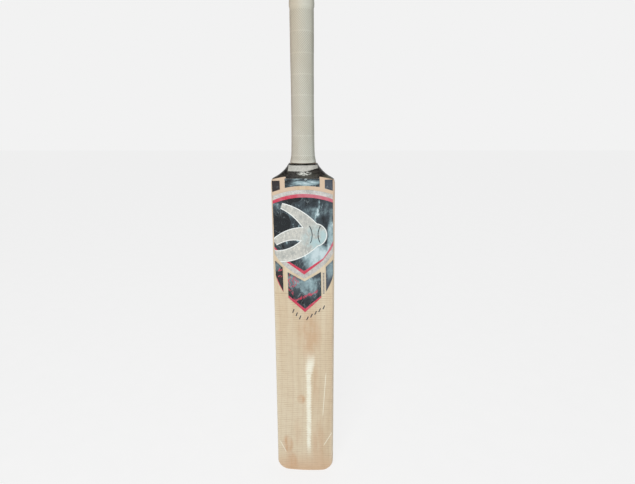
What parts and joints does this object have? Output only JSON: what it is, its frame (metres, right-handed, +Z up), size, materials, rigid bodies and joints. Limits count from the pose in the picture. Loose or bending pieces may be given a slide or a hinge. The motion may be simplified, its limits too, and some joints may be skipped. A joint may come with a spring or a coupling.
{
  "type": "cricket bat",
  "caption": "Adult short-handle cricket bat: flat-faced willow blade, spliced cane handle, rubber grip, stickers and a facing sheet.",
  "frame": {"origin": "on the toe's flat underside, below the handle's axis", "axes": "+Z up the bat from the toe to the end of the handle, +Y from the hitting face to the spine, +X to the right as seen looking at the face"},
  "size_m": [0.107, 0.0614, 0.85],
  "materials": {
    "willow": "satin, straight pale grain",
    "cane": "fine-grained, varnished",
    "spring_rubber": "matt",
    "twine": "waxed thread",
    "grip_rubber": "matt, fine diagonal hatch",
    "black_tape": "semi-gloss, slightly wrinkled",
    "white_label": "semi-gloss",
    "sticker_film": "glossy, slightly wrinkled",
    "facing_film": "clear, finely ribbed"
  },
  "bodies": {
    "root": {"blade": "willow", "cane_front_left": "cane", "cane_front_middle": "cane", "cane_front_right": "cane", "cane_mid_front_left": "cane", "cane_mid_front_middle": "cane", "cane_mid_front_right": "cane", "cane_mid_back_left": "cane", "cane_mid_back_middle": "cane", "cane_mid_back_right": "cane", "cane_back_left": "cane", "cane_back_middle": "cane", "cane_back_right": "cane", "rubber_spring_front": "spring_rubber", "rubber_spring_middle": "spring_rubber", "rubber_spring_back": "spring_rubber", "twine_binding": "twine", "grip": "grip_rubber", "shoulder_tape": "black_tape", "shoulder_label": "white_label", "shoulder_sticker_centre": "sticker_film", "shoulder_sticker_right": "sticker_film", "shoulder_sticker_left": "sticker_film", "shield_sticker": "sticker_film", "wing_sticker_right": "sticker_film", "wing_sticker_left": "sticker_film", "pennant_sticker": "sticker_film", "facing_sheet": "facing_film"}
  },
  "joints": []
}
